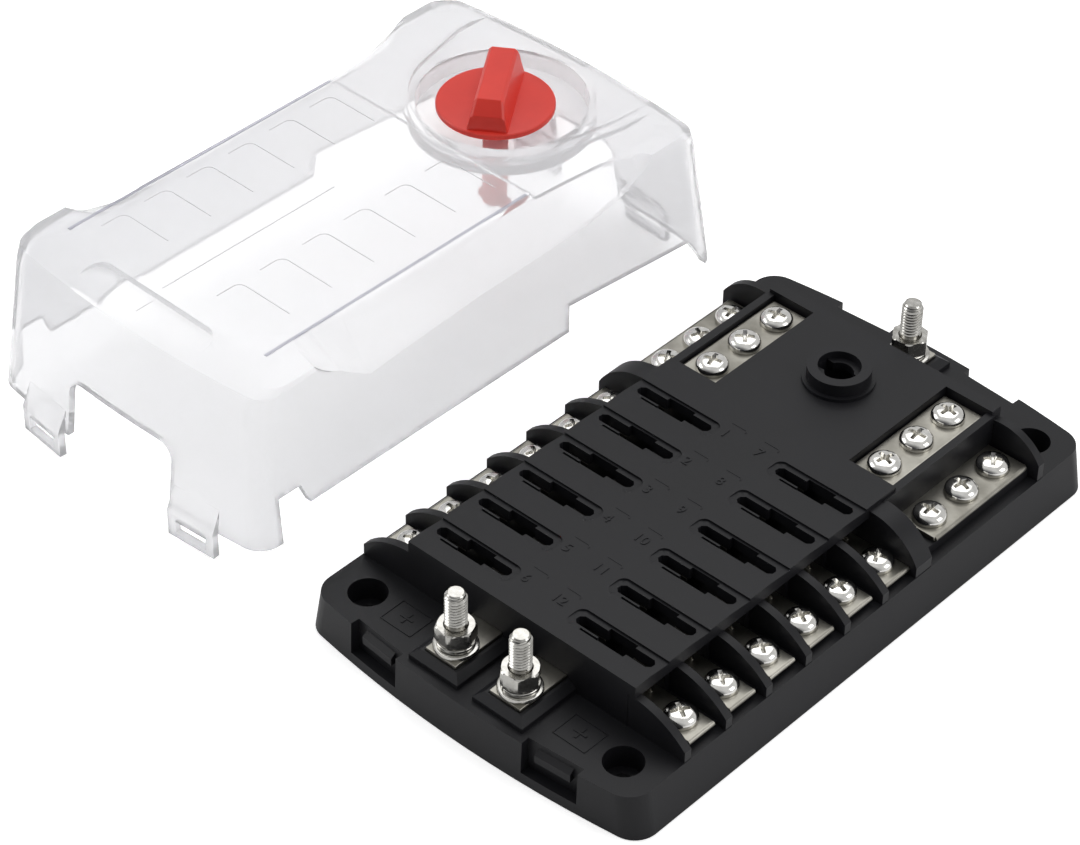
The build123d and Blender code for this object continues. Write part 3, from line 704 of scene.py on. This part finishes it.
def plus_mark(word, x, y):
    """Plus sign in a thin frame on the flange beside a positive stud."""
    half_x = 4.4
    half_y = 3.6
    frame_stroke = 0.32
    arm = 1.7
    stroke = 0.7
    # The upright arms end short of the level one
    clear_of = 0.34
    foot = FLANGE_TOP - 0.1
    frame_top = FLANGE_TOP + 0.18
    sign_top = FLANGE_TOP + 0.2
    corners = [(x + sx * half_x, y + sy * half_y) for sx, sy in ((-1, -1), (1, -1), (1, 1), (-1, 1))]
    sign = bmesh.new()
    for a, b in zip(corners, corners[1:] + corners[:1]):
        raised_line(sign, [a, b], frame_stroke, foot, frame_top)
    raised_line(sign, [(x - arm, y), (x + arm, y)], stroke, foot, sign_top)
    raised_line(sign, [(x, y - arm), (x, y - clear_of)], stroke, foot, sign_top)
    raised_line(sign, [(x, y + clear_of), (x, y + arm)], stroke, foot, sign_top)
    finished(f"plus_mark_{word}", to_mesh(f"plus_mark_{word}", sign), black, "base")


PLUS_X = 25.05
PLUS_Y = -69.75
for side, word in zip(SIDES, ("left", "right")):
    plus_mark(word, side * PLUS_X, PLUS_Y)


# Fine marks on the cover: centre line, twelve window marks over the fuses and beads along the raised top

WINDOW_LEG = 4.6
WINDOW_CORNER = 2.2
FIRST_WINDOW_Y = -54.0


def window_mark(x, y, length):
    """Short leg along the cover, round corner, long leg across it."""
    points = [(x, y)]
    for k in range(7):
        angle = math.pi - math.pi / 2 * k / 6
        across = x + WINDOW_CORNER + WINDOW_CORNER * math.cos(angle)
        points.append((across, y + WINDOW_LEG + WINDOW_CORNER * math.sin(angle)))
    points.append((x + length, y + WINDOW_LEG + WINDOW_CORNER))
    return points


def on_cover(name, bm, material):
    """Piece drawn in the cover's own place, set where the cover stands."""
    data = to_mesh(name, bm)
    data.transform(COVER_PLACE)
    finished(name, data, material, "cover")


def cover_marks():
    """Window marks and centre line, a hair above the faces that carry them."""
    width = 0.26
    sunk = 0.05
    rise = 0.09
    # The two columns of window marks: (start across the cover, shift along it, length)
    columns = ((9.5, 0.0, 16.0), (-28.0, -1.0, 15.0))
    centre_x = -1.1
    bm = bmesh.new()
    for i in range(CELL_COUNT):
        y = FIRST_WINDOW_Y + CELL_PITCH * i
        on_plateau = y + WINDOW_LEG + WINDOW_CORNER < COVER_PLATEAU_END
        z = COVER_TOP if on_plateau else COVER_STEP_TOP
        for x, shift, length in columns:
            raised_line(bm, window_mark(x, y + shift, length), width, z - sunk, z + rise)
    for y0, y1, z in ((-60.6, -8.0, COVER_TOP), (-68.6, -63.8, COVER_RECESS_TOP)):
        raised_line(bm, [(centre_x, y0), (centre_x, y1)], width, z - sunk, z + rise)
    on_cover("cover_marks", bm, clear)


def cover_edge_beads():
    """Bead along each long side of the raised top, in a darker lavender tone that is painted shade of its
    edge.
    """
    half_x = 32.4
    front = -60.9
    rear = 20.8
    width = 1.0
    bm = bmesh.new()
    for side in SIDES:
        points = [(side * half_x, front), (side * half_x, rear)]
        raised_line(bm, points, width, COVER_TOP - 0.08, COVER_TOP + 0.10)
    on_cover("cover_edge_beads", bm, clear_edge_painted_shade)


cover_marks()
cover_edge_beads()


# Locking knob, drawn round its own axis: disc, hub, stem and lugs, with a bevelled bar handle

DISC_TOP = 46.6
DISC_FOOT = 44.1
HUB_R = 6.5
HUB_FOOT = 41.3
COLLAR_R = 3.9
COLLAR_FOOT = 37.3
STEM_R = 3.1
STEM_FOOT = 16.2
HANDLE_TOP = 53.7
HANDLE_HALF = 13.0
HANDLE_TURN = 35.0


def knob_body():
    """Disc with a rounded rim, hub, collar and stem, turned."""
    stem_edge = 0.3
    rim = [(13.7, DISC_TOP), (14.1, 46.5), (14.35, 46.25), (14.4, 45.95)]
    rim += [(14.4, 45.3), (14.2, 45.05), (13.2, 44.9), (12.6, DISC_FOOT)]
    profile = [(0.0, DISC_TOP), *rim, (HUB_R, DISC_FOOT), (HUB_R, HUB_FOOT)]
    profile += [(COLLAR_R, HUB_FOOT), (COLLAR_R, COLLAR_FOOT), (STEM_R, COLLAR_FOOT)]
    profile += [(STEM_R, STEM_FOOT + stem_edge), (STEM_R - stem_edge, STEM_FOOT), (0.0, STEM_FOOT)]
    bm = bmesh.new()
    turned(bm, profile, 96)
    return to_mesh("knob_body", bm, 30.0)


def bar_handle():
    """Bar with sloping sides, bevelled long edges and a blunt sloping nose at both ends."""
    foot = DISC_TOP - 0.3
    foot_half = 5.05
    top_half = 3.55
    bevel = 0.75
    bm = bmesh.new()
    # One cross-section per station along the bar: (place along it, part of the full height there)
    stations = [(-HANDLE_HALF, 0.0), (-HANDLE_HALF + 0.5, 0.55), (-HANDLE_HALF + 3.2, 1.0)]
    stations += [(HANDLE_HALF - 1.0, 1.0), (HANDLE_HALF - 0.3, 0.82), (HANDLE_HALF, 0.0)]
    rows = []
    for y, part in stations:
        z = foot + (HANDLE_TOP - foot) * part
        half = top_half + (foot_half - top_half) * (1.0 - part)
        edge = bevel * min(part * 2.0, 1.0)
        section = [(-foot_half, foot), (-half, z - edge), (-half + edge, z)]
        section += [(half - edge, z), (half, z - edge), (foot_half, foot)]
        if part == 0.0:
            # Low blunt end with its own cut corners
            section = [(-4.7, foot), (-4.7, foot + 0.9), (-4.2, foot + 1.5)]
            section += [(4.2, foot + 1.5), (4.7, foot + 0.9), (4.7, foot)]
        rows.append([bm.verts.new(at(x, y, height)) for x, height in section])
    bar(bm, rows)
    bmesh.ops.rotate(bm, verts=bm.verts, cent=(0, 0, 0), matrix=turn_z(HANDLE_TURN, 3))
    return to_mesh("knob_handle", bm, 60.0)


def stem_lugs():
    """Two pairs of lugs on the stem, each a flat bar with rounded ends."""
    # Reach from the axis, half width, underside and top
    collar_lugs = (5.1, 1.95, COLLAR_FOOT, 38.9)
    foot_lugs = (4.6, 1.45, STEM_FOOT, 18.0)
    bm = bmesh.new()
    for reach, half_width, low, high in (collar_lugs, foot_lugs):
        half_angle = math.atan2(half_width, math.sqrt(reach * reach - half_width * half_width))
        rows = []
        for z in (low, high):
            row = []
            for start in (0.0, math.pi):
                for k in range(7):
                    angle = start - half_angle + 2.0 * half_angle * k / 6
                    row.append(bm.verts.new(polar(reach, angle, z)))
            rows.append(row)
        bar(bm, rows)
    return to_mesh("knob_lugs", bm, 30.0)


knob = finished("locking_knob_detail", knob_body(), red, "knob", KNOB_PLACE)
handle = finished("knob_handle", bar_handle(), red, "knob", KNOB_PLACE)
soften(handle, 0.45, 3)
lugs = finished("knob_lugs", stem_lugs(), red, "knob", KNOB_PLACE)
soften(lugs, 0.2)
for piece in (knob, handle, lugs):
    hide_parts("locking_knob")


# Floor, lights and camera

def floor_material():
    """Plain white studio floor with a faint unevenness."""
    material, nodes, links, shader = new_material("studio_floor")
    cloud = noise(nodes, links, 3.0, 2.0)
    tint(nodes, links, shader, cloud, 0.3, 0.7, ((0.90, 0.90, 0.90), (0.93, 0.93, 0.93)))
    shader.inputs["Roughness"].default_value = 0.7
    shader.inputs["Emission Color"].default_value = (1.0, 1.0, 1.0, 1.0)
    # The floor glows white to the eye and through the cover, but throws less light back on the part
    rays = nodes.new("ShaderNodeLightPath")
    seen = nodes.new("ShaderNodeMath")
    seen.operation = "MAXIMUM"
    links.new(rays.outputs["Is Camera Ray"], seen.inputs[0])
    links.new(rays.outputs["Is Transmission Ray"], seen.inputs[1])
    spread(nodes, links, seen.outputs["Value"], 0.06, 0.55, shader.inputs["Emission Strength"])
    return material


def studio_floor():
    """Wide flat floor, a hair under the part."""
    bm = bmesh.new()
    bmesh.ops.create_grid(bm, x_segments=8, y_segments=8, size=3.0)
    data = bpy.data.meshes.new("floor")
    bm.to_mesh(data)
    bm.free()
    data.materials.append(floor_material())
    floor = bpy.data.objects.new("floor", data)
    floor.location = at(0.0, 0.0, -0.2)
    bpy.context.scene.collection.objects.link(floor)


def studio_world():
    """Studio that is bright overhead and behind, and dark on the photographer's side."""
    world = bpy.data.worlds.new("studio")
    bpy.context.scene.world = world
    world.use_nodes = True
    nodes = world.node_tree.nodes
    links = world.node_tree.links
    background = nodes["Background"]
    background.inputs["Strength"].default_value = 0.62
    heading = nodes.new("ShaderNodeTexCoord")
    facing = nodes.new("ShaderNodeVectorMath")
    facing.operation = "DOT_PRODUCT"
    facing.inputs[1].default_value = Vector((0.20, -0.97, -0.10)).normalized()
    links.new(heading.outputs["Generated"], facing.inputs[0])
    shade = ramp(nodes, links, facing.outputs["Value"], 0.40, 0.90, ((1.0, 1.0, 1.0), (0.12, 0.12, 0.13)))
    links.new(shade, background.inputs["Color"])


def softbox(name, place, target, size, power):
    """Rectangular light that faces its target, in metres and watts."""
    data = bpy.data.lights.new(name, "AREA")
    data.shape = "RECTANGLE"
    data.size = size[0]
    data.size_y = size[1]
    data.energy = power
    light = bpy.data.objects.new(name, data)
    light.location = place
    light.rotation_euler = (Vector(target) - Vector(place)).to_track_quat("-Z", "Y").to_euler()
    bpy.context.scene.collection.objects.link(light)


def photograph_camera():
    """Camera where the photograph was taken from, solved from the object's own sizes."""
    data = bpy.data.cameras.new("camera")
    data.sensor_fit = "HORIZONTAL"
    data.sensor_width = 36.0
    data.lens = 117.772
    data.clip_start = 0.01
    camera = bpy.data.objects.new("camera", data)
    camera.location = (0.36390227, -0.45814018, 0.53222629)
    degrees = (49.7025675, -0.6711757, 42.7074923)
    camera.rotation_euler = Euler([math.radians(angle) for angle in degrees], "XYZ")
    bpy.context.scene.collection.objects.link(camera)
    bpy.context.scene.camera = camera


studio_floor()
studio_world()
softbox("top_box", (-0.25, 0.35, 0.85), (-0.03, 0.0, 0.0), (0.9, 0.7), 2.6)
softbox("left_box", (-0.9, -0.5, 0.55), (-0.05, 0.0, 0.02), (0.6, 0.6), 2.4)
softbox("right_box", (0.85, 0.35, 0.5), (0.0, 0.0, 0.02), (0.5, 0.6), 1.9)
photograph_camera()

scene = bpy.context.scene
scene.view_settings.view_transform = "Standard"
scene.view_settings.look = "None"
scene.view_settings.exposure = 0.0
